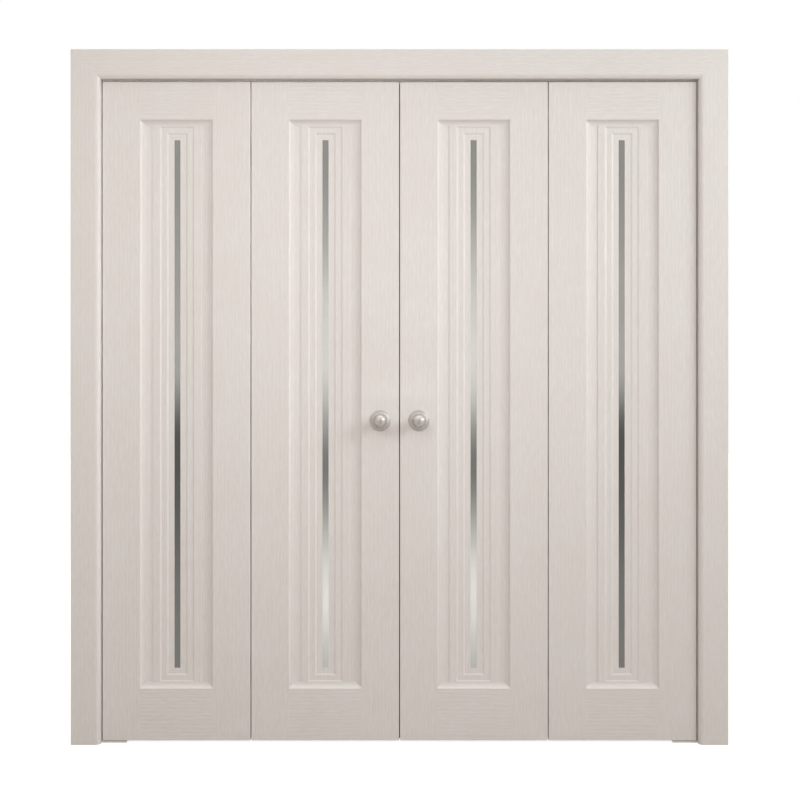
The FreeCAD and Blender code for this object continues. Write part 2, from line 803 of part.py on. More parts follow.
def bottom_pivot_pin(node, side):
    """Threaded foot pin with a hexagon for setting the leaf's height."""
    tip = "foot_pin_clear - floor_gap"
    body = turned(node, [
        ("0", tip),
        ("pin_radius - pin_tip", tip),
        ("pin_radius", tip + " + pin_tip"),
        ("pin_radius", "foot_pin_up"),
        ("0", "foot_pin_up"),
    ])
    corners = []
    for index in range(6):
        angle = math.radians(60 * index)
        corners.append((f"{math.cos(angle):.6f}*hex_radius", f"{math.sin(angle):.6f}*hex_radius"))
    low = "foot_plate_top - floor_gap + seat_play"
    sketch = loop_sketch(body, node + "_hexagon", "XY_Plane", corners, lift=low)
    extrude(body, "Pad", node + "_nut", sketch, f"-foot_flange_thick - seat_play - ({low})")
    place(body, f"{side}*pivot_x", "leaf_y", "floor_gap")
    return sub_part(body, node)


# Fold hinges.

def hinge_leaf(name, side, barrels):
    """One hinge leaf. barrels lists which of the three knuckles it carries."""
    body = new_body(name)
    pitch = "(barrel_high + barrel_play)"
    lows = [f"{index}*{pitch}" for index in range(3)]
    corners = [("hinge_plate_wide", "0"), ("hinge_plate_wide", "hinge_high")]
    if barrels == (0, 2):
        corners += [
            ("hinge_root", "hinge_high"),
            ("hinge_root", lows[2]),
            ("barrel_notch", lows[2]),
            ("barrel_notch", "barrel_high"),
            ("hinge_root", "barrel_high"),
            ("hinge_root", "0"),
        ]
    else:
        corners += [
            ("barrel_notch", "hinge_high"),
            ("barrel_notch", lows[1] + " + barrel_high"),
            ("hinge_root", lows[1] + " + barrel_high"),
            ("hinge_root", lows[1]),
            ("barrel_notch", lows[1]),
            ("barrel_notch", "0"),
        ]
    plate = loop_sketch(body, name + "_outline", "XZ_Plane", corners, lift="hinge_out", side=side)
    extrude(body, "Pad", name + "_plate", plate, "hinge_plate_thick", reverse=True)
    rings = [("0", "0", "barrel_radius"), ("0", "0", "hinge_pin_bore")]
    for index in barrels:
        ring = circle_sketch(body, f"{name}_ring_{index}", "XY_Plane", rings, lift=lows[index])
        extrude(body, "Pad", f"{name}_barrel_{index}", ring, "barrel_high")
    return body


hinge_heights = [
    "hinge_end",
    "(leaf_high - hinge_high)/2",
    "leaf_high - hinge_end - hinge_high",
]


def repeat(original, name):
    """The piece at the three hinge heights."""
    members = [place(original, z=hinge_heights[0])]
    for index in (1, 2):
        members.append(copy_of(original, f"{name}_{index}", z=hinge_heights[index]))
    return members


def hinges(door, side):
    pivot = repeat(hinge_leaf(door + "_pivot_hinge_leaf", side, (0, 2)), door + "_pivot_copy")
    pin = doc.addObject("Part::Cylinder", door + "_hinge_pin")
    pin.setExpression("Radius", cells("hinge_pin_radius"))
    pin.setExpression("Height", cells("hinge_high"))
    pins = repeat(pin, door + "_pin_copy")
    lead = repeat(hinge_leaf(door + "_lead_hinge_leaf", -side, (1,)), door + "_lead_copy")
    fixed = group(door + "_pivot_hinge_plates_and_pins", pivot + pins)
    moving = group(door + "_lead_hinge_plates", lead)
    for compound in (fixed, moving):
        place(compound, f"{side}*fold_x", "hinge_y", "floor_gap")


# Knobs.

def rose(node, side):
    """Stepped, domed base plate of a knob. Turned about its own Z, then laid towards -Y."""
    body = turned(node, [
        ("spigot_radius + seat_play", "0"),
        ("rose_radius", "0"),
        ("rose_radius", "rose_rim - rose_edge"),
        ("rose_radius - rose_edge", "rose_rim"),
        ("rose_step_radius", "rose_rim"),
        ("rose_step_radius - rose_edge", "rose_step_high"),
        ("rose_crown_radius", "rose_crown_high"),
        ("spigot_radius + seat_play", "rose_crown_high"),
    ])
    place(body, f"{side}*knob_x", "leaf_y - leaf_half", "knob_z", axis=(1, 0, 0), turn=90)
    return sub_part(body, node)


def knob(node, side):
    """Ball knob on a short neck that stands on the rose, with a spigot through it."""
    ball_start = "knob_centre - sqrt(knob_radius^2 - neck_radius^2)"
    body = turned(node, [
        ("0", "0"),
        ("spigot_radius", "0"),
        ("spigot_radius", "rose_crown_high"),
        ("neck_radius + neck_flare", "rose_crown_high"),
        ("neck_radius", "rose_crown_high + neck_flare"),
        ("neck_radius", ball_start, "knob_radius", 1),
        ("knob_radius", "knob_centre", "knob_radius", 1),
        ("0", "knob_reach"),
    ])
    place(body, f"{side}*knob_x", "leaf_y - leaf_half", "knob_z", axis=(1, 0, 0), turn=90)
    return sub_part(body, node)


# Whole door.

def door_hardware(door, side):
    top_bracket(door + "_top_pivot_bracket", side)
    bottom_bracket(door + "_bottom_pivot_bracket", side)
    pivot_sleeves(door + "_pivot_sleeves", side)
    guide_sleeve(door + "_guide_sleeve", side)
    top_pivot_pin(door + "_top_pivot_pin", side)
    bottom_pivot_pin(door + "_bottom_pivot_pin", side)
    guide_pin(door + "_guide_pin", side)
    guide_roller(door + "_guide_roller", side)
    pin_spring(door + "_pivot_spring", f"{side}*pivot_x")
    pin_spring(door + "_guide_spring", f"{side}*guide_x")
    hinges(door, side)
    rose(door + "_knob_rose", side)
    knob(door + "_knob", side)


def check_document():
    for thing in doc.Objects:
        if "Invalid" in thing.State or "Error" in thing.State:
            raise RuntimeError(f"{thing.Label}: {thing.State}")
        if thing.TypeId in ("PartDesign::Pocket", "PartDesign::Mirrored"):
            before = thing.BaseFeature.Shape.Volume
            if thing.Shape.Volume >= before - 1e-3:
                raise RuntimeError(f"{thing.Label} cuts nothing")
    for thing in sub_parts:
        shape = thing.Shape
        if shape.isNull() or not shape.isValid() or not shape.Solids:
            raise RuntimeError(f"{thing.Label}: bad shape")


def write_parts():
    for thing in sub_parts:
        thing.Shape.exportStep(f"parts/{thing.Label}.step")


fill_sheet()
leaves()
side_jamb("jamb_left", -1)
side_jamb("jamb_right", 1)
head_jamb()
side_casing("casing_left", -1)
side_casing("casing_right", 1)
head_casing()
top_track()
track_snubber()
door_hardware("left", -1)
door_hardware("right", 1)
doc.recompute()
check_document()
write_parts()
print(len(sub_parts), "sub-parts written")
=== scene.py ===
import math

import bpy
from mathutils import Matrix, Vector


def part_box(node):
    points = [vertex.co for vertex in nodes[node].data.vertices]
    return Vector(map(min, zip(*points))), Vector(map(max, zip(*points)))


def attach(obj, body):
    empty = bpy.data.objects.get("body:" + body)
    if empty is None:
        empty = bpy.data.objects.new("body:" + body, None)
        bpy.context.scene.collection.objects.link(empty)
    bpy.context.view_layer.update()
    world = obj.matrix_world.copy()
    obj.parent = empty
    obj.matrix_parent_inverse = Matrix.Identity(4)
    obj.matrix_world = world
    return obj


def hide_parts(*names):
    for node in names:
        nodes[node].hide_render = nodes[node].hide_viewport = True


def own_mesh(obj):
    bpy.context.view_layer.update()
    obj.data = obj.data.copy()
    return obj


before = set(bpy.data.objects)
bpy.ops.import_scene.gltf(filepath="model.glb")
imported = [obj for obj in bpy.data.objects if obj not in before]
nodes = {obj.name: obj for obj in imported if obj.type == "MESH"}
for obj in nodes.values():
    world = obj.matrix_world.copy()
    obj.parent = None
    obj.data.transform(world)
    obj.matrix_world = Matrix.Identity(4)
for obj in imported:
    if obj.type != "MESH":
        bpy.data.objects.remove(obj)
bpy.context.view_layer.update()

# Bifold closet door: paint, mirror, metals, small hardware and a plain studio.
# Metres. X runs along the opening, Y goes into the closet, Z up.

doors = {"left": -1, "right": 1}
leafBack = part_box("left_lead_leaf_top_rail")[1].y
print("frame loaded:", len(nodes), "nodes")


def addNode(tree, kind, x, y, **settings):
    node = tree.nodes.new(kind)
    node.location = (x, y)
    for name, setting in settings.items():
        setattr(node, name, setting)
    return node


def join(tree, start, end):
    tree.links.new(start, end)


def tone(red, green, blue):  # screen colour, 0 to 255, as the linear colour a shader takes
    mixed = [((part / 255 + 0.055) / 1.055) ** 2.4 for part in (red, green, blue)]
    return (*mixed, 1.0)


def newGroup(name, inputs, outputs):
    group = bpy.data.node_groups.new(name, "ShaderNodeTree")
    for label, kind, start in inputs:
        socket = group.interface.new_socket(label, in_out="INPUT", socket_type=kind)
        if start is not None:
            socket.default_value = start
    for label, kind in outputs:
        group.interface.new_socket(label, in_out="OUTPUT", socket_type=kind)
    return group, addNode(group, "NodeGroupInput", -900, 0), addNode(group, "NodeGroupOutput", 900, 0)


def stretch(tree, source, x, y, scale, offset=(0, 0, 0), turn=(0, 0, 0)):
    mapping = addNode(tree, "ShaderNodeMapping", x, y)
    mapping.inputs["Location"].default_value = offset
    mapping.inputs["Rotation"].default_value = turn
    mapping.inputs["Scale"].default_value = scale
    join(tree, source, mapping.inputs["Vector"])
    return mapping.outputs["Vector"]


def noise(tree, vector, x, y, scale, detail=2.0, rough=0.5):
    texture = addNode(tree, "ShaderNodeTexNoise", x, y)
    texture.inputs["Scale"].default_value = scale
    texture.inputs["Detail"].default_value = detail
    texture.inputs["Roughness"].default_value = rough
    join(tree, vector, texture.inputs["Vector"])
    return texture.outputs["Fac"]


def calc(tree, operation, x, y, *values, clamp=False):
    step = addNode(tree, "ShaderNodeMath", x, y, operation=operation, use_clamp=clamp)
    for index, given in enumerate(values):
        if isinstance(given, (int, float)):
            step.inputs[index].default_value = given
        else:
            join(tree, given, step.inputs[index])
    return step.outputs[0]


def spread(tree, value, x, y, low, high, newLow=0.0, newHigh=1.0):
    ranged = addNode(tree, "ShaderNodeMapRange", x, y, interpolation_type="SMOOTHSTEP")
    ranged.inputs["From Min"].default_value = low
    ranged.inputs["From Max"].default_value = high
    ranged.inputs["To Min"].default_value = newLow
    ranged.inputs["To Max"].default_value = newHigh
    join(tree, value, ranged.inputs["Value"])
    return ranged.outputs["Result"]


def blendColour(tree, mask, x, y, first, second):
    mix = addNode(tree, "ShaderNodeMix", x, y, data_type="RGBA")
    join(tree, mask, mix.inputs["Factor"])
    for socket, colour in (("A", first), ("B", second)):
        target = [s for s in mix.inputs if s.name == socket and s.type == "RGBA"][0]
        if isinstance(colour, tuple):
            target.default_value = colour
        else:
            join(tree, colour, target)
    return [s for s in mix.outputs if s.type == "RGBA"][0]


def newMaterial(name, roughness, metallic=0.0, coat=0.0):
    material = bpy.data.materials.new(name)
    material.use_nodes = True
    tree = material.node_tree
    tree.nodes.clear()
    shader = addNode(tree, "ShaderNodeBsdfPrincipled", 300, 0)
    result = addNode(tree, "ShaderNodeOutputMaterial", 700, 0)
    join(tree, shader.outputs["BSDF"], result.inputs["Surface"])
    shader.inputs["Roughness"].default_value = roughness
    shader.inputs["Metallic"].default_value = metallic
    shader.inputs["Coat Weight"].default_value = coat
    place = addNode(tree, "ShaderNodeTexCoord", -1500, 0).outputs["Object"]
    return material, tree, shader, place


def addBump(tree, shader, height, strength, distance):
    bump = addNode(tree, "ShaderNodeBump", 60, -320)
    bump.inputs["Strength"].default_value = strength
    bump.inputs["Distance"].default_value = distance
    join(tree, height, bump.inputs["Height"])
    join(tree, bump.outputs["Normal"], shader.inputs["Normal"])


def useGroup(tree, group, x, y, vector, **values):
    node = addNode(tree, "ShaderNodeGroup", x, y, node_tree=group)
    join(tree, vector, node.inputs["Vector"])
    for label, given in values.items():
        node.inputs[label].default_value = given
    return node.outputs


# ash grain that shows through paint: wandering growth rings and short open pores, running along Z
ash = {
    "along": {"rings": 0.07, "pores": 0.045, "streaks": 0.09},  # small numbers draw marks out
    "poreNoise": (620.0, 2.0, 0.55),  # scale, detail, roughness
    "streakNoise": (150.0, 3.0, 0.6),
    "poreEdge": (0.60, 0.47),  # noise where a pore begins and where it is deepest
    "shares": {"rings": 0.42, "pores": 0.34, "streaks": 0.75},
}
ashGrain, given, result = newGroup(
    "ashGrain",
    [
        ("Vector", "NodeSocketVector", None),
        ("Rings", "NodeSocketFloat", 26.0),
        ("Wander", "NodeSocketFloat", 7.0),
    ],
    [("Height", "NodeSocketFloat"), ("Pores", "NodeSocketFloat")],
)
ringVector = stretch(ashGrain, given.outputs["Vector"], -640, 260, (1, 1, ash["along"]["rings"]))
ringBands = addNode(ashGrain, "ShaderNodeTexWave", -380, 300, wave_type="BANDS", bands_direction="X")
ringBands.inputs["Detail"].default_value = 3.0
ringBands.inputs["Detail Scale"].default_value = 0.45
ringBands.inputs["Detail Roughness"].default_value = 0.62
join(ashGrain, given.outputs["Rings"], ringBands.inputs["Scale"])
join(ashGrain, given.outputs["Wander"], ringBands.inputs["Distortion"])
join(ashGrain, ringVector, ringBands.inputs["Vector"])
poreVector = stretch(ashGrain, given.outputs["Vector"], -640, -40, (1, 1, ash["along"]["pores"]))
poreNoise = noise(ashGrain, poreVector, -380, -40, *ash["poreNoise"])
porePits = spread(ashGrain, poreNoise, -160, -40, *ash["poreEdge"])
streakVector = stretch(ashGrain, given.outputs["Vector"], -640, -320, (1, 1, ash["along"]["streaks"]))
streakNoise = noise(ashGrain, streakVector, -380, -320, *ash["streakNoise"])
poreShare = calc(ashGrain, "MULTIPLY", 60, -40, porePits, ash["shares"]["pores"])
streakShare = calc(ashGrain, "MULTIPLY", 60, -320, streakNoise, ash["shares"]["streaks"])
ringShare = calc(ashGrain, "MULTIPLY", 60, 260, ringBands.outputs["Fac"], ash["shares"]["rings"])
grainSum = calc(ashGrain, "ADD", 300, 120, calc(ashGrain, "ADD", 180, 120, ringShare, streakShare), poreShare)
join(ashGrain, grainSum, result.inputs["Height"])
join(ashGrain, porePits, result.inputs["Pores"])

# cloudy mask for tint, polish and finger haze
cloud, given, result = newGroup(
    "cloud",
    [("Vector", "NodeSocketVector", None), ("Size", "NodeSocketFloat", 4.0)],
    [("Mask", "NodeSocketFloat")],
)
cloudNoise = addNode(cloud, "ShaderNodeTexNoise", -300, 0)
cloudNoise.inputs["Detail"].default_value = 4.0
cloudNoise.inputs["Roughness"].default_value = 0.6
join(cloud, given.outputs["Vector"], cloudNoise.inputs["Vector"])
join(cloud, given.outputs["Size"], cloudNoise.inputs["Scale"])
join(cloud, spread(cloud, cloudNoise.outputs["Fac"], 0, 0, 0.34, 0.66), result.inputs["Mask"])

# fine parallel lines left by a die, a brush or a rolling mill, running along X
drawnLines, given, result = newGroup(
    "drawnLines",
    [("Vector", "NodeSocketVector", None), ("Fine", "NodeSocketFloat", 1500.0)],
    [("Lines", "NodeSocketFloat")],
)
lineNoise = addNode(drawnLines, "ShaderNodeTexNoise", -200, 0)
lineNoise.inputs["Detail"].default_value = 3.0
lineNoise.inputs["Roughness"].default_value = 0.65
longLines = stretch(drawnLines, given.outputs["Vector"], -500, 0, (0.012, 1, 1))
join(drawnLines, longLines, lineNoise.inputs["Vector"])
join(drawnLines, given.outputs["Fine"], lineNoise.inputs["Scale"])
join(drawnLines, lineNoise.outputs["Fac"], result.inputs["Lines"])

# turning marks round the Y axis of the given vector
turnedRings, given, result = newGroup(
    "turnedRings",
    [("Vector", "NodeSocketVector", None), ("Fine", "NodeSocketFloat", 1800.0)],
    [("Lines", "NodeSocketFloat")],
)
parts = addNode(turnedRings, "ShaderNodeSeparateXYZ", -700, 0)
join(turnedRings, given.outputs["Vector"], parts.inputs["Vector"])
acrossSquared = calc(turnedRings, "MULTIPLY", -500, 120, parts.outputs["X"], parts.outputs["X"])
upSquared = calc(turnedRings, "MULTIPLY", -500, -60, parts.outputs["Z"], parts.outputs["Z"])
radius = calc(turnedRings, "SQRT", -160, 40, calc(turnedRings, "ADD", -320, 40, acrossSquared, upSquared))
ringPlace = addNode(turnedRings, "ShaderNodeCombineXYZ", 20, 40)
join(turnedRings, radius, ringPlace.inputs["X"])
join(turnedRings, parts.outputs["Y"], ringPlace.inputs["Y"])
turnNoise = addNode(turnedRings, "ShaderNodeTexNoise", 240, 40)
turnNoise.inputs["Detail"].default_value = 2.0
join(turnedRings, ringPlace.outputs["Vector"], turnNoise.inputs["Vector"])
join(turnedRings, given.outputs["Fine"], turnNoise.inputs["Scale"])
join(turnedRings, turnNoise.outputs["Fac"], result.inputs["Lines"])

# edges made lighter, partly rubbed wear and partly a painted highlight along the arrises: 1 on an arris that
# faces out, 0 on the flat
edgeMaskLook = {
    "patches": 90.0,
    "patchEdge": (0.35, 0.7),
    "least": 0.25,  # lightening between the patches
    "cosine": (0.995, 0.86),  # between rounded and true face, where the lighter edge begins and where it is full
}
edgeWearAndHighlight, given, result = newGroup(
    "edgeWearAndHighlight",
    [("Vector", "NodeSocketVector", None), ("Width", "NodeSocketFloat", 0.0012)],
    [("Mask", "NodeSocketFloat")],
)
roundOff = addNode(edgeWearAndHighlight, "ShaderNodeBevel", -500, 100, samples=4)
join(edgeWearAndHighlight, given.outputs["Width"], roundOff.inputs["Radius"])
trueFace = addNode(edgeWearAndHighlight, "ShaderNodeNewGeometry", -500, -120)
facing = addNode(edgeWearAndHighlight, "ShaderNodeVectorMath", -260, 40, operation="DOT_PRODUCT")
join(edgeWearAndHighlight, roundOff.outputs["Normal"], facing.inputs[0])
join(edgeWearAndHighlight, trueFace.outputs["Normal"], facing.inputs[1])
patchNoise = noise(edgeWearAndHighlight, given.outputs["Vector"], -500, -380, edgeMaskLook["patches"], 3.0)
patchy = spread(edgeWearAndHighlight, patchNoise, -260, -380, *edgeMaskLook["patchEdge"], edgeMaskLook["least"], 1.0)
edgeOnly = spread(edgeWearAndHighlight, facing.outputs["Value"], -60, 40, *edgeMaskLook["cosine"])
join(edgeWearAndHighlight, calc(edgeWearAndHighlight, "MULTIPLY", 200, 0, edgeOnly, patchy), result.inputs["Mask"])
print("effect groups made")


paint = {
    "light": (233, 229, 227),
    "warm": (232, 227, 224),
    "deep": (216, 208, 200),  # where paint lies thick in a pore
    # lighter edges: rubbed paint and a painted highlight along the arrises
    "edgeWornLitTone": (240, 236, 231),
    "roughness": 0.46,
    "roughnessSpread": (-0.05, 0.07),
    "specular": 0.22,
    "coat": 0.08,
    "coatRoughness": 0.34,
    "relief": 0.00030,
    "reliefStrength": 0.8,
    "rings": 26.0,
    "wander": 7.0,
    "clouds": 5.0,
    "polishClouds": 34.0,
    "poreFill": 0.30,
    "edgeWidth": 0.0014,
    "edgeLighten": 0.5,
}


def paintedAsh(name, lying=False, offset=(0, 0, 0), relief=1.0):
    material, tree, shader, place = newMaterial(name, paint["roughness"], coat=paint["coat"])
    shader.inputs["Coat Roughness"].default_value = paint["coatRoughness"]
    shader.inputs["Specular IOR Level"].default_value = paint["specular"]
    turn = (0, math.pi / 2, 0) if lying else (0, 0, 0)
    along = stretch(tree, place, -1280, 0, (1, 1, 1), offset, turn)
    grain = useGroup(tree, ashGrain, -1000, 0, along, Rings=paint["rings"], Wander=paint["wander"])
    tint = useGroup(tree, cloud, -1000, 300, along, Size=paint["clouds"])
    polish = useGroup(tree, cloud, -1000, -300, along, Size=paint["polishClouds"])
    edgeMask = useGroup(tree, edgeWearAndHighlight, -1000, 560, place, Width=paint["edgeWidth"])
    base = blendColour(tree, tint["Mask"], -700, 300, tone(*paint["light"]), tone(*paint["warm"]))
    sunk = calc(tree, "MULTIPLY", -760, 60, grain["Pores"], paint["poreFill"])
    pored = blendColour(tree, sunk, -480, 200, base, tone(*paint["deep"]))
    edgeLightShare = calc(tree, "MULTIPLY", -480, 500, edgeMask["Mask"], paint["edgeLighten"])
    wornAndLit = blendColour(tree, edgeLightShare, -240, 260, pored, tone(*paint["edgeWornLitTone"]))
    join(tree, wornAndLit, shader.inputs["Base Color"])
    low, high = (paint["roughness"] + change for change in paint["roughnessSpread"])
    join(tree, spread(tree, polish["Mask"], -240, -120, 0.0, 1.0, low, high), shader.inputs["Roughness"])
    addBump(tree, shader, grain["Height"], paint["reliefStrength"] * relief, paint["relief"])
    return material


uprightPaint = paintedAsh("leafPaintUpright")
lyingPaint = paintedAsh("leafPaintLying", lying=True, offset=(0.37, 0, 0.11), relief=1.5)
panelPaint = paintedAsh("panelPaint", offset=(0.731, 0, 0.4))
trimUprightPaint = paintedAsh("trimPaintUpright", offset=(1.913, 0, 0.9), relief=0.9)
trimLyingPaint = paintedAsh("trimPaintLying", lying=True, offset=(1.27, 0, 0.53), relief=1.2)
print("paints made")


mirror = {
    "silver": (229, 227, 223),
    "tarnish": (209, 207, 202),
    "roughness": (0.015, 0.05),
    "hazeClouds": 22.0,
    "stainClouds": 3.0,
    "stainShare": 0.5,
}
mirrorGlass, tree, shader, place = newMaterial("stripMirror", mirror["roughness"][0], metallic=1.0)
haze = useGroup(tree, cloud, -900, 0, place, Size=mirror["hazeClouds"])
stain = useGroup(tree, cloud, -900, 260, place, Size=mirror["stainClouds"])
stained = calc(tree, "MULTIPLY", -620, 260, stain["Mask"], mirror["stainShare"])
silvered = blendColour(tree, stained, -360, 240, tone(*mirror["silver"]), tone(*mirror["tarnish"]))
join(tree, silvered, shader.inputs["Base Color"])
join(tree, spread(tree, haze["Mask"], -360, -60, 0.2, 1.0, *mirror["roughness"]), shader.inputs["Roughness"])


metals = {
    "satinNickel": {
        "bright": (186, 182, 177), "dull": (174, 170, 165), "roughness": (0.42, 0.50), "metallic": 0.55},
    "clearNickel": {
        "bright": (190, 185, 180), "dull": (180, 175, 170), "roughness": (0.34, 0.40), "metallic": 0.6},
    "zincSteel": {"bright": (203, 206, 207), "dull": (176, 179, 178), "roughness": (0.28, 0.42)},
    "springSteel": {"bright": (176, 178, 182), "dull": (140, 142, 146), "roughness": (0.26, 0.38)},
    "drawnAluminium": {
        "bright": (222, 218, 213), "dull": (204, 200, 195), "roughness": (0.30, 0.40), "metallic": 0.6},
}
metalMarks = {
    "hazeClouds": 60.0,
    "patchClouds": 240.0,
    "edgeWidth": 0.0006,
    "edgeHighlightSteps": 26,  # steps of screen colour above the bright tone, for lighter edges: worn metal and a painted highlight
    "lineRoughness": 0.06,
    "lineStrength": 0.5,
}


def metal(name, lines=None, centre=(0, 0, 0), mirrored=False, fine=1600.0, lineDepth=0.00003, edge=0.0):
    look = metals[name]
    material, tree, shader, place = newMaterial(name, look["roughness"][0], metallic=look.get("metallic", 1.0))
    source = place
    if mirrored:  # the two doors mirror each other, so one centre serves both
        absolute = addNode(tree, "ShaderNodeVectorMath", -1300, 0, operation="ABSOLUTE")
        join(tree, place, absolute.inputs[0])
        source = absolute.outputs["Vector"]
    centred = stretch(tree, source, -1100, 0, (1, 1, 1), tuple(-c for c in centre))
    haze = useGroup(tree, cloud, -860, 260, place, Size=metalMarks["hazeClouds"])
    patch = useGroup(tree, cloud, -860, 460, place, Size=metalMarks["patchClouds"])
    colour = blendColour(tree, patch["Mask"], -420, 300, tone(*look["bright"]), tone(*look["dull"]))
    # lighter edges: worn metal and a painted highlight along the arrises
    if edge:
        edgeMask = useGroup(tree, edgeWearAndHighlight, -860, 660, place, Width=metalMarks["edgeWidth"])
        shine = tone(*(min(255, part + metalMarks["edgeHighlightSteps"]) for part in look["bright"]))
        edgeLightShare = calc(tree, "MULTIPLY", -420, 560, edgeMask["Mask"], edge)
        colour = blendColour(tree, edgeLightShare, -180, 380, colour, shine)
    join(tree, colour, shader.inputs["Base Color"])
    rough = spread(tree, haze["Mask"], -420, 0, 0.0, 1.0, *look["roughness"])
    if lines:
        marks = useGroup(tree, lines, -860, -200, centred, Fine=fine)
        lined = calc(tree, "MULTIPLY", -420, -200, marks["Lines"], metalMarks["lineRoughness"])
        rough = calc(tree, "ADD", -180, -20, rough, lined)
        addBump(tree, shader, marks["Lines"], metalMarks["lineStrength"], lineDepth)
    join(tree, rough, shader.inputs["Roughness"])
    return material


knobAxis = Vector((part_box("right_knob")[0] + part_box("right_knob")[1])) / 2
knobCentre = (knobAxis.x, 0, knobAxis.z)
satinNickel = metal(
    "satinNickel", turnedRings, knobCentre, mirrored=True, fine=1500.0, lineDepth=0.00002, edge=0.4)
clearNickel = metal("clearNickel", turnedRings, knobCentre, mirrored=True, fine=1500.0, lineDepth=0.00001)
zincSteel = metal("zincSteel", drawnLines, fine=900.0, edge=0.6)
springSteel = metal("springSteel", drawnLines, fine=2600.0)
drawnAluminium = metal("drawnAluminium", drawnLines, fine=1300.0, edge=0.5)


plastics = {
    "bracketEnamel": {
        "light": (233, 231, 227), "dark": (224, 222, 217), "roughness": (0.30, 0.40),
        "grain": 500.0, "depth": 0.00005, "specular": 0.5},
    "nylonBush": {
        "light": (228, 226, 217), "dark": (214, 211, 200), "roughness": (0.42, 0.55),
        "grain": 900.0, "depth": 0.00004, "specular": 0.5},
    # the snubber's rubber, made darker so that the lip in the meeting gap paints the shade in that gap
    "gapShadeAndRubber": {
        "light": (40, 39, 38), "dark": (27, 27, 27), "roughness": (0.62, 0.8),
        "grain": 700.0, "depth": 0.00012, "specular": 0.1},
}
plasticMarks = {"clouds": 45.0, "edgeWidth": 0.0008, "edgeHighlightSteps": 14, "edgeLighten": 0.5, "grainStrength": 0.6}


def moulded(name):
    look = plastics[name]
    material, tree, shader, place = newMaterial(name, look["roughness"][0])
    shader.inputs["Specular IOR Level"].default_value = look["specular"]
    patch = useGroup(tree, cloud, -860, 200, place, Size=plasticMarks["clouds"])
    edgeMask = useGroup(tree, edgeWearAndHighlight, -860, 420, place, Width=plasticMarks["edgeWidth"])
    colour = blendColour(tree, patch["Mask"], -480, 200, tone(*look["light"]), tone(*look["dark"]))
    # lighter edges: rubbed wear and a painted highlight along the arrises
    shine = tone(*(min(255, part + plasticMarks["edgeHighlightSteps"]) for part in look["light"]))
    edgeLightShare = calc(tree, "MULTIPLY", -480, 420, edgeMask["Mask"], plasticMarks["edgeLighten"])
    join(tree, blendColour(tree, edgeLightShare, -220, 260, colour, shine), shader.inputs["Base Color"])
    join(tree, spread(tree, patch["Mask"], -220, -60, 0.0, 1.0, *look["roughness"]), shader.inputs["Roughness"])
    grain = noise(tree, place, -480, -300, look["grain"], 3.0, 0.6)
    addBump(tree, shader, grain, plasticMarks["grainStrength"], look["depth"])
    return material


bracketEnamel = moulded("bracketEnamel")
nylonBush = moulded("nylonBush")
gapShadeAndRubber = moulded("gapShadeAndRubber")
print("mirror, metals and plastics made")


def finishFor(name):
    if name.endswith("mirror_strips"):
        return mirrorGlass
    if name.endswith("_panel"):
        return panelPaint
    if name.endswith("_rail"):
        return lyingPaint
    if name.endswith("_stile"):
        return uprightPaint
    if name in ("casing_head", "head_jamb"):
        return trimLyingPaint
    if name.startswith(("casing_", "jamb_")):
        return trimUprightPaint
    if name.endswith("_knob"):
        return clearNickel
    if "knob" in name:
        return satinNickel
    if name == "top_track":
        return drawnAluminium
    if name == "track_snubber":
        return gapShadeAndRubber
    if "sleeve" in name or "roller" in name:
        return nylonBush
    if "spring" in name:
        return springSteel
    if "bracket" in name:
        return bracketEnamel
    return zincSteel


for name, piece in nodes.items():
    for holder in piece.material_slots:
        holder.material = finishFor(name)
print("CAD pieces finished")


def deselect():
    if bpy.context.object and bpy.context.object.mode != "OBJECT":
        bpy.ops.object.mode_set(mode="OBJECT")
    bpy.ops.object.select_all(action="DESELECT")


def only(piece):
    deselect()
    piece.select_set(True)
    bpy.context.view_layer.objects.active = piece


def pick(piece, test, kind="FACE"):  # selects the faces or edges that pass the test, and opens edit mode
    only(piece)
    bpy.ops.object.mode_set(mode="EDIT")
    bpy.ops.mesh.select_mode(type=kind)
    bpy.ops.mesh.select_all(action="DESELECT")
    bpy.ops.object.mode_set(mode="OBJECT")
    if kind == "FACE":
        for face in piece.data.polygons:
            face.select = test(face)
    else:
        for edge in piece.data.edges:
            ends = [piece.data.vertices[index].co for index in edge.vertices]
            edge.select = test(ends[0], ends[1])
    bpy.ops.object.mode_set(mode="EDIT")


def finishEdit():
    bpy.ops.object.mode_set(mode="OBJECT")


def applyModifier(piece, kind, **settings):
    only(piece)
    modifier = piece.modifiers.new(kind.lower(), kind)
    for name, setting in settings.items():
        setattr(modifier, name, setting)
    bpy.ops.object.modifier_apply(modifier=modifier.name)


def settle(piece):  # the place goes into the mesh
    only(piece)
    bpy.ops.object.transform_apply(location=True, rotation=True, scale=True)


def copyTo(master, name, matrix):
    twin = master.copy()
    twin.data = master.data.copy()
    twin.data.transform(matrix)
    twin.name = name
    bpy.context.scene.collection.objects.link(twin)
    return twin


def joined(pieces, name):
    deselect()
    for piece in pieces:
        piece.select_set(True)
    bpy.context.view_layer.objects.active = pieces[0]
    if len(pieces) > 1:
        bpy.ops.object.join()
    pieces[0].name = name
    pieces[0].data.name = name
    return pieces[0]


def dress(piece, body, material):
    piece.data.materials.clear()
    piece.data.materials.append(material)
    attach(piece, body)


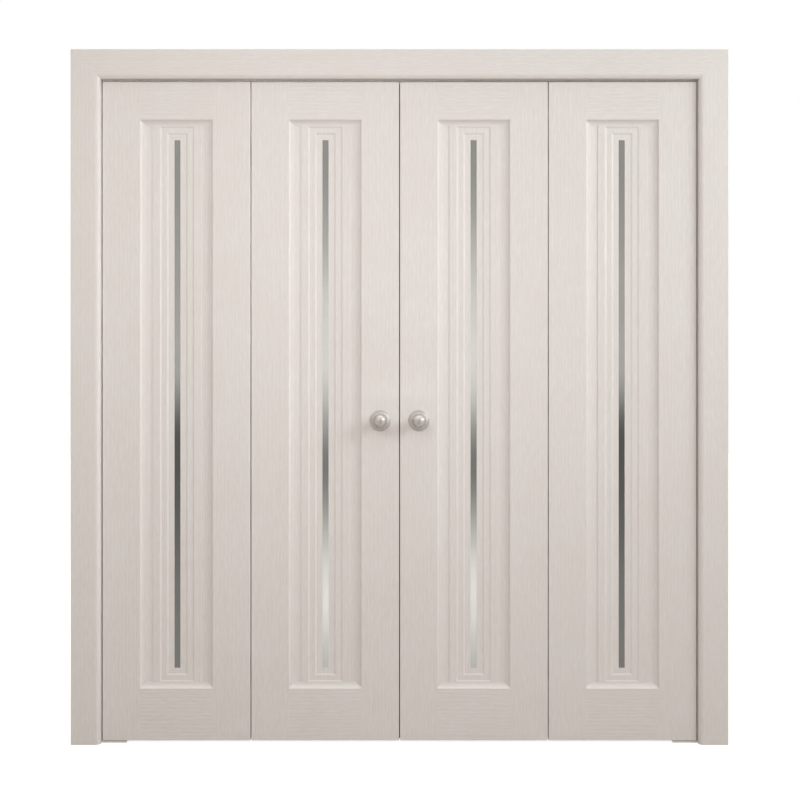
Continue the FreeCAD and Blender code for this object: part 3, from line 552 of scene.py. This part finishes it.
# each screw is made with its axis on Z and the surface it is driven into at z = 0
screwSizes = {
    "hinge": {
        "head": 0.0034, "proud": 0.00035, "crown": 0.0003,
        "recess": 0.0021, "slit": 0.00042, "deep": 0.0009, "round": 24},
    "bracket": {
        "head": 0.0041, "proud": 0.0004, "crown": 0.0003,
        "recess": 0.0024, "slit": 0.0005, "deep": 0.0011, "round": 28},
    "track": {
        "head": 0.0038, "proud": 0.0009, "crown": 0.0005,
        "recess": 0.0023, "slit": 0.0005, "deep": 0.0010, "round": 28},
    "knob": {
        "head": 0.0065, "proud": 0.0024, "crown": 0.0012,
        "recess": 0.0034, "slit": 0.0007, "deep": 0.0016, "round": 36},
}
screwShape = {
    "buried": 0.0012,  # how far the head reaches under the surface
    "crownIn": 0.34,  # shares of the head's radius
    "rimFrom": 0.5,
    "rimMost": 0.2,
    "rimRound": 0.6,
    "recessFoot": (0.35, 0.6, 1),
    "slack": 0.00002,  # metres, for finding the rim by its height
    "alike": 1e-6,
    "smooth": 32,
    "turns": (0.2, 0.7),  # of the first screw, and from each to the next
}


def screwHead(name):
    size = screwSizes[name]
    deselect()
    bpy.ops.mesh.primitive_cylinder_add(
        vertices=size["round"], radius=size["head"], depth=size["proud"] + screwShape["buried"],
        location=(0, 0, (size["proud"] - screwShape["buried"]) / 2))
    head = bpy.context.object
    settle(head)
    pick(head, lambda face: face.normal.z > 0.9)
    bpy.ops.mesh.inset(thickness=size["head"] * screwShape["crownIn"], use_even_offset=True)
    bpy.ops.transform.translate(value=(0, 0, size["crown"]))
    finishEdit()
    rimHeight = size["proud"] - screwShape["slack"]
    rimStart = size["head"] * screwShape["rimFrom"]
    pick(head, lambda a, b: min(a.z, b.z) > rimHeight and max(a.xy.length, b.xy.length) > rimStart
         and abs(a.xy.length - b.xy.length) < screwShape["alike"], "EDGE")
    rim = min(size["proud"], size["head"] * screwShape["rimMost"]) * screwShape["rimRound"]
    bpy.ops.mesh.bevel(offset=rim, segments=2, affect="EDGES")
    finishEdit()
    for turn in (0, math.pi / 2):  # the cross recess
        deselect()
        bpy.ops.mesh.primitive_cube_add(size=1, location=(0, 0, size["proud"] + size["crown"]))
        cutter = bpy.context.object
        cutter.scale = (size["recess"] * 2, size["slit"] * 2, size["deep"] * 2)
        settle(cutter)
        pick(cutter, lambda face: face.normal.z < -0.9)
        bpy.ops.transform.resize(value=screwShape["recessFoot"])
        finishEdit()
        cutter.data.transform(Matrix.Rotation(turn, 4, "Z"))
        applyModifier(head, "BOOLEAN", object=cutter, operation="DIFFERENCE", solver="EXACT")
        bpy.data.objects.remove(cutter)
    only(head)
    bpy.ops.object.shade_smooth_by_angle(angle=math.radians(screwShape["smooth"]))
    return head


def drive(place, direction, turn):  # where a screw goes and which way its head looks
    facing = Vector(direction).to_track_quat("Z", "Y").to_matrix().to_4x4()
    return Matrix.Translation(place) @ facing @ Matrix.Rotation(turn, 4, "Z")


def screwSet(master, name, spots, body):
    first, each = screwShape["turns"]
    heads = []
    for index, (place, direction) in enumerate(spots):
        heads.append(copyTo(master, f"{name}_{index}", drive(place, direction, each * index + first)))
    dress(joined(heads, name), body, zincSteel)


hingeScrew = screwHead("hinge")
bracketScrew = screwHead("bracket")
trackScrew = screwHead("track")
knobScrew = screwHead("knob")

hinge = {
    "plateFace": leafBack + 0.0016,  # plate thickness
    "plateLong": 0.0606,
    "pinLine": 0.459,  # from the middle of the opening
    "rows": (0.009, 0.0305, 0.0518),  # heights of the screws on a plate
    "centreFromPin": {"pivot": (0.0205, 0.0155, 0.0205), "lead": (0.0155, 0.0205, 0.0155)},
}

foot = {"legThick": 0.0025, "screwHeights": (0.024, 0.045)}
track = {"wall": 0.0016, "screwPlaces": (-0.76, -0.46, -0.16, 0.16, 0.46, 0.76)}

for door, side in doors.items():
    pinsLow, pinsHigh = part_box(f"{door}_pivot_hinge_plates_and_pins")
    platesLow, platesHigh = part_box(f"{door}_lead_hinge_plates")
    foldX = side * hinge["pinLine"]
    plateLong = hinge["plateLong"]
    starts = (pinsLow.z, (pinsLow.z + pinsHigh.z - plateLong) / 2, pinsHigh.z - plateLong)
    for which, way in (("pivot", side), ("lead", -side)):
        spots = []
        for start in starts:
            for rise, out in zip(hinge["rows"], hinge["centreFromPin"][which]):
                spots.append(((foldX + way * out, hinge["plateFace"], start + rise), (0, 1, 0)))
        screwSet(hingeScrew, f"{door}_{which}_hinge_screws", spots, f"{door}_{which}_leaf")

    footLow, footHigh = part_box(f"{door}_bottom_pivot_bracket")
    legFace = side * (max(abs(footLow.x), abs(footHigh.x)) - foot["legThick"])
    middle = (footLow.y + footHigh.y) / 2
    spots = [((legFace, middle, rise), (-side, 0, 0)) for rise in foot["screwHeights"]]
    screwSet(bracketScrew, f"{door}_foot_bracket_screws", spots, "frame")

    knobX = side * knobAxis.x
    spots = [((knobX, leafBack, knobAxis.z), (0, 1, 0))]
    screwSet(knobScrew, f"{door}_knob_screw", spots, f"{door}_lead_leaf")

trackLow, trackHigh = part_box("top_track")
webUnder = trackHigh.z - track["wall"]
trackY = (trackLow.y + trackHigh.y) / 2
spots = [((x, trackY, webUnder), (0, 0, -1)) for x in track["screwPlaces"]]
screwSet(trackScrew, "track_screws", spots, "frame")
for master in (hingeScrew, bracketScrew, trackScrew, knobScrew):
    bpy.data.objects.remove(master)
print("screws driven")


# a rubber lip on the left lead leaf fills the gap where the two pairs meet; its dark colour is painted shade,
# standing in for the shadow in that gap
shadeLip = {
    "body": "left_lead_leaf",
    "base": (0.0008, 0.0090),
    "lip": 0.0013,
    "tip": 0.55,  # share of the lip's thickness at its tip
    "touch": 0.00005,
    "short": 0.001,
    "roundOff": 0.0002,
    "sharp": 50,
    "smooth": 35,
}

edgeLow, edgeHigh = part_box("left_lead_leaf_right_stile")
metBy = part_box("right_lead_leaf_left_stile")[0].x - shadeLip["touch"]
lipMiddle = (edgeLow.y + edgeHigh.y) / 2
deselect()
bpy.ops.mesh.primitive_cube_add(
    size=1, location=(edgeHigh.x + shadeLip["base"][0] / 2, lipMiddle, (edgeLow.z + edgeHigh.z) / 2))
shadeLipPiece = bpy.context.object
shadeLipPiece.scale = (*shadeLip["base"], edgeHigh.z - edgeLow.z - 2 * shadeLip["short"])
settle(shadeLipPiece)
only(shadeLipPiece)
bpy.ops.object.mode_set(mode="EDIT")
for way in (-1, 1):
    bpy.ops.mesh.select_all(action="SELECT")
    bpy.ops.mesh.bisect(plane_co=(0, lipMiddle + way * shadeLip["lip"] / 2, 0), plane_no=(0, 1, 0))
pick(shadeLipPiece, lambda face: face.normal.x > 0.9 and abs(face.center.y - lipMiddle) < shadeLip["lip"] / 2)
bpy.ops.mesh.extrude_region_move(
    TRANSFORM_OT_translate={"value": (metBy - edgeHigh.x - shadeLip["base"][0], 0, 0)})
bpy.ops.transform.resize(value=(1, shadeLip["tip"], 1))
finishEdit()
applyModifier(
    shadeLipPiece, "BEVEL", width=shadeLip["roundOff"], segments=2, limit_method="ANGLE",
    angle_limit=math.radians(shadeLip["sharp"]))
only(shadeLipPiece)
bpy.ops.object.shade_smooth_by_angle(angle=math.radians(shadeLip["smooth"]))
joined([shadeLipPiece], "meeting_shade_lip")
dress(shadeLipPiece, shadeLip["body"], gapShadeAndRubber)
print("meeting seal fitted")


# turned from a disc: each step goes in by the first number and rises by the second
rose = {
    "round": 96,
    "edge": 0.0014,
    "smooth": 40,
    "steps": [
        (0.0004, 0.0007), (0.0009, 0.0006), (0.0012, 0.0003), (0.0004, -0.0003),
        (0.0004, 0.0001), (0.0006, 0.0007), (0.0015, 0.0011), (0.0016, 0.0009),
        (0.0017, 0.0007), (0.0018, 0.0006), (0.0040, 0.0007), (0.0050, 0.0003)],
}

roseLow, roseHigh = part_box("right_knob_rose")
roseRadius = (roseHigh.x - roseLow.x) / 2
deselect()
bpy.ops.mesh.primitive_cylinder_add(
    vertices=rose["round"], radius=roseRadius, depth=rose["edge"], location=(0, 0, rose["edge"] / 2))
roseDisc = bpy.context.object
settle(roseDisc)
pick(roseDisc, lambda face: face.normal.z > 0.9)
for goIn, rise in rose["steps"]:
    bpy.ops.mesh.inset(thickness=goIn, use_even_offset=True)
    bpy.ops.transform.translate(value=(0, 0, rise))
finishEdit()
only(roseDisc)
bpy.ops.object.shade_smooth_by_angle(angle=math.radians(rose["smooth"]))
for door, side in doors.items():
    middle = Matrix.Translation((side * knobAxis.x, roseHigh.y, knobAxis.z))
    turned = copyTo(roseDisc, f"{door}_turned_rose", middle @ Matrix.Rotation(math.pi / 2, 4, "X"))
    turned.data.name = turned.name
    dress(turned, f"{door}_lead_leaf", satinNickel)
    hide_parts(f"{door}_knob_rose")
bpy.data.objects.remove(roseDisc)
print("roses turned")


coil = {"wire": 0.0007, "turns": 13, "sides": 8, "stepsPerTurn": 26, "smooth": 50}
springJoints = {  # joint, its travel, leaf that holds the spring
    "pivot": ("top_pin_press", 0.014, "pivot_leaf"),
    "guide": ("guide_pin_press", 0.008, "lead_leaf"),
}


def coilSpring(name, low, high):
    middle = (low + high) / 2
    outer = (high.x - low.x) / 2
    wire = coil["wire"]
    height = high.z - low.z - 2 * wire
    deselect()
    bpy.ops.mesh.primitive_circle_add(vertices=coil["sides"], radius=wire, fill_type="NGON", location=(0, 0, 0))
    section = bpy.context.object
    start = Matrix.Translation((outer - wire, 0, low.z + wire)) @ Matrix.Rotation(math.pi / 2, 4, "X")
    section.data.transform(start)
    steps = coil["turns"] * coil["stepsPerTurn"]
    applyModifier(
        section, "SCREW", axis="Z", angle=coil["turns"] * 2 * math.pi, screw_offset=height,
        steps=steps, render_steps=steps, use_merge_vertices=False, use_normal_calculate=True)
    pick(section, lambda face: len(face.vertices) > 4)
    bpy.ops.mesh.delete(type="ONLY_FACE")
    bpy.ops.mesh.select_mode(type="EDGE")
    bpy.ops.mesh.select_all(action="DESELECT")
    bpy.ops.mesh.select_non_manifold()
    bpy.ops.mesh.edge_face_add()
    bpy.ops.mesh.select_all(action="SELECT")
    bpy.ops.mesh.normals_make_consistent(inside=False)
    finishEdit()
    section.data.transform(Matrix.Translation((middle.x, middle.y, 0)))
    only(section)
    bpy.ops.object.shade_smooth_by_angle(angle=math.radians(coil["smooth"]))
    section.name = name
    return section


for door in doors:
    for which, (press, travel, leafName) in springJoints.items():
        node = f"{door}_{which}_spring"
        low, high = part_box(node)
        spring = coilSpring(f"{node}_coil", low, high)
        dress(spring, f"{door}_{leafName}", springSteel)
        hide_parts(node)
        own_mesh(spring)
print("springs wound")


studio = {
    "floorSize": 30.0,
    "floorTone": (163, 154, 146),
    "floorSpeck": (169, 160, 152),
    "floorRoughness": 0.7,
    "floorSpecular": 0.1,
    "floorClouds": 2.0,
    "floorDrop": 0.0004,
    "floorLift": 0.86,  # only what the camera and clear reflections see
    "ambientTone": (1, 0.97, 0.91, 1),
    "ambientLow": 0.20,  # light from level and below, and from straight above
    "ambientHigh": 0.88,
    "ambientRise": (-0.1, 0.9),  # upward part of a direction where the light starts and stops growing
}


def plane(name, size, location, turn=(0, 0, 0)):
    deselect()
    bpy.ops.mesh.primitive_plane_add(size=1, location=location, rotation=turn)
    flat = bpy.context.object
    flat.scale = (size[0], size[1], 1)
    settle(flat)
    flat.name = name
    return flat


def seenDirect(tree, x, y):  # 1 for camera, glossy and transmission rays
    light = addNode(tree, "ShaderNodeLightPath", x, y)
    first = calc(tree, "MAXIMUM", x + 200, y, light.outputs["Is Camera Ray"], light.outputs["Is Glossy Ray"])
    return calc(tree, "MAXIMUM", x + 400, y, first, light.outputs["Is Transmission Ray"])


floor = plane("floor", (studio["floorSize"], studio["floorSize"]), (0, 0, -studio["floorDrop"]))
floorPaint, tree, shader, place = newMaterial("floorPaint", studio["floorRoughness"])
shader.inputs["Specular IOR Level"].default_value = studio["floorSpecular"]
speck = useGroup(tree, cloud, -900, 0, place, Size=studio["floorClouds"])
floorColour = blendColour(tree, speck["Mask"], -500, 0, tone(*studio["floorTone"]), tone(*studio["floorSpeck"]))
join(tree, floorColour, shader.inputs["Base Color"])
lift = addNode(tree, "ShaderNodeEmission", 300, -560)
lift.inputs["Strength"].default_value = studio["floorLift"]
both = addNode(tree, "ShaderNodeAddShader", 500, -300)
choice = addNode(tree, "ShaderNodeMixShader", 620, -120)
result = [n for n in tree.nodes if n.type == "OUTPUT_MATERIAL"][0]
join(tree, shader.outputs["BSDF"], both.inputs[0])
join(tree, lift.outputs["Emission"], both.inputs[1])
join(tree, seenDirect(tree, -200, 400), choice.inputs["Fac"])
join(tree, shader.outputs["BSDF"], choice.inputs[1])
join(tree, both.outputs["Shader"], choice.inputs[2])
join(tree, choice.outputs["Shader"], result.inputs["Surface"])
floor.data.materials.append(floorPaint)

world = bpy.data.worlds.new("studioWorld")
bpy.context.scene.world = world
world.use_nodes = True
tree = world.node_tree
tree.nodes.clear()
around = addNode(tree, "ShaderNodeBackground", 0, 100)
around.inputs["Color"].default_value = studio["ambientTone"]
skyward = addNode(tree, "ShaderNodeSeparateXYZ", -500, 300)
join(tree, addNode(tree, "ShaderNodeTexCoord", -700, 400).outputs["Generated"], skyward.inputs["Vector"])
ambience = spread(
    tree, skyward.outputs["Z"], -250, 300, *studio["ambientRise"], studio["ambientLow"], studio["ambientHigh"])
join(tree, ambience, around.inputs["Strength"])
white = addNode(tree, "ShaderNodeBackground", 0, -100)
white.inputs["Color"].default_value = (1, 1, 1, 1)
mixed = addNode(tree, "ShaderNodeMixShader", 300, 0)
ending = addNode(tree, "ShaderNodeOutputWorld", 500, 0)
join(tree, seenDirect(tree, -700, 200), mixed.inputs["Fac"])
join(tree, around.outputs["Background"], mixed.inputs[1])
join(tree, white.outputs["Background"], mixed.inputs[2])
join(tree, mixed.outputs["Shader"], ending.inputs["Surface"])


def glowPaint(name, stack, tint=(1, 1, 1), low=0.0, high=1.0, strength=1.0):  # bands of light, read upwards
    glow = bpy.data.materials.new(name)
    glow.use_nodes = True
    tree = glow.node_tree
    tree.nodes.clear()
    place = addNode(tree, "ShaderNodeTexCoord", -900, 0).outputs["Object"]
    split = addNode(tree, "ShaderNodeSeparateXYZ", -700, 0)
    join(tree, place, split.inputs["Vector"])
    share = calc(tree, "DIVIDE", -400, 0, calc(tree, "SUBTRACT", -550, 0, split.outputs["Z"], low), high - low)
    ramp = addNode(tree, "ShaderNodeValToRGB", -250, 0)
    ramp.color_ramp.interpolation = "EASE"
    stops = ramp.color_ramp.elements
    while len(stops) < len(stack):
        stops.new(0.5)
    for stop, (level, bright) in zip(stops, stack):
        stop.position = level
        stop.color = (bright * tint[0], bright * tint[1], bright * tint[2], 1)
    shine = addNode(tree, "ShaderNodeEmission", 50, 0)
    shine.inputs["Strength"].default_value = strength
    join(tree, share, ramp.inputs["Fac"])
    join(tree, ramp.outputs["Color"], shine.inputs["Color"])
    result = addNode(tree, "ShaderNodeOutputMaterial", 250, 0)
    join(tree, shine.outputs["Emission"], result.inputs["Surface"])
    return glow


def onlyReflected(flat):
    flat.visible_camera = False
    flat.visible_diffuse = False
    flat.visible_transmission = False
    flat.visible_shadow = False
    flat.visible_volume_scatter = False


# glowing flats in front of the strips, seen only in clear reflections, paint the reflections the strips show;
# each kind is a few bands of (height, brightness)
flats = {
    "distance": 0.70,
    "glow": 1.26,
    "width": 0.09,
    "height": 2.1,
    "foot": 0.01,
    "stripFace": -0.0161,
    "tint": (1, 0.99, 0.97),
    "dim": [(0.0, 0.2), (0.9, 0.1), (1.2, 0.4), (2.0, 0.3)],  # painted reflection: dark below, lighter above
    "lit": [(0.0, 0.5), (0.3, 0.8), (0.8, 0.2), (1.2, 0.7), (2.0, 0.3)],  # painted reflection: light and dark bands in turn
    "kinds": {-0.6885: "dim", -0.2295: "lit", 0.2295: "lit", 0.6885: "dim"},  # by the strip's place on X
}

camera = {"place": (0.0014, -2.8795, 1.0586), "lens": 41.56, "sensor": 36, "near": 0.01, "far": 100}

for centreX, kind in flats["kinds"].items():
    reach = (flats["distance"] + flats["stripFace"]) / (flats["stripFace"] - camera["place"][1])
    height = flats["height"]
    side = "left" if centreX < 0 else "right"
    flat = plane(f"flat_{side}_{int(abs(centreX) * 1000)}", (flats["width"], height),
                 (centreX * (1 + reach), -flats["distance"], height / 2 + flats["foot"]), (math.pi / 2, 0, 0))
    shares = [(level / height, bright) for level, bright in flats[kind]]
    flat.data.materials.append(
        glowPaint("flatGlow", shares, flats["tint"], flats["foot"], flats["foot"] + height, flats["glow"]))
    onlyReflected(flat)

# a glowing card in front of the knobs, seen only in reflections, paints their reflections: dark at its foot, as
# painted shade on their undersides, brighter above
card = {
    "width": 0.38, "low": 0.10, "high": 1.40, "away": 0.62,
    "stack": [(0.0, 0.30), (0.45, 0.32), (0.68, 0.50), (0.84, 0.72), (1.0, 0.95)],
}
knobCard = plane("knobCard", (card["width"], card["high"] - card["low"]),
                 (0, -card["away"], (card["high"] + card["low"]) / 2), (math.pi / 2, 0, 0))
knobCard.data.materials.append(glowPaint("cardGlow", card["stack"], low=card["low"], high=card["high"]))
onlyReflected(knobCard)

# and a small one above them, for the highlight on top
brow = {"size": (0.22, 0.05), "away": 0.10, "above": 0.09, "tilt": -30, "glow": 3.2}
browCard = plane("browCard", brow["size"], (0, -brow["away"], knobAxis.z + brow["above"]),
                 (math.radians(brow["tilt"]), 0, 0))
browCard.data.materials.append(glowPaint("browGlow", [(0.0, 1.0), (1.0, 1.0)], strength=brow["glow"]))
onlyReflected(browCard)

lamps = {
    "key": {
        "place": (3.1, -1.7, 2.6), "aim": (0.1, 0, 1.3), "size": 1.8, "spread": 180,
        "power": 40.4, "colour": (0.97, 1.015, 1.06)},
    "side": {
        "place": (3.1, -1.7, 2.6), "aim": (-0.6, 0, 1.3), "size": 1.8, "spread": 45,
        "power": 3.4, "colour": (0.98, 1, 1.03)},
    "low": {
        "place": (0.15, -2.1, 1.3), "aim": (0.15, 0, 1.2), "size": 0.8, "spread": 180,
        "power": 5.5, "colour": (1, 1, 1)},
    "closet": {
        "place": (-0.9, 3.4, 2.3), "aim": (0, 0, 1.0), "size": 1.8, "spread": 180,
        "power": 58, "colour": (1, 0.99, 0.98)},
    "fill": {
        "place": (-0.7, -1.6, 2.0), "aim": (-0.5, 0, 1.5), "size": 1.2, "spread": 180,
        "power": 7.2, "colour": (1, 0.99, 0.975)},
}
for name, lamp in lamps.items():
    data = bpy.data.lights.new(name, "AREA")
    data.shape = "SQUARE"
    data.size = lamp["size"]
    data.energy = lamp["power"]
    data.spread = math.radians(lamp["spread"])
    data.color = lamp["colour"]
    holder = bpy.data.objects.new(name, data)
    bpy.context.scene.collection.objects.link(holder)
    holder.location = lamp["place"]
    holder.rotation_euler = (Vector(lamp["aim"]) - Vector(lamp["place"])).to_track_quat("-Z", "Y").to_euler()

cameraData = bpy.data.cameras.new("camera")
cameraData.lens = camera["lens"]
cameraData.sensor_width = camera["sensor"]
cameraData.clip_start = camera["near"]
cameraData.clip_end = camera["far"]
cameraHolder = bpy.data.objects.new("camera", cameraData)
bpy.context.scene.collection.objects.link(cameraHolder)
cameraHolder.location = camera["place"]
cameraHolder.rotation_euler = (math.pi / 2, 0, 0)
bpy.context.scene.camera = cameraHolder
bpy.context.scene.view_settings.view_transform = "Standard"
print("studio set")
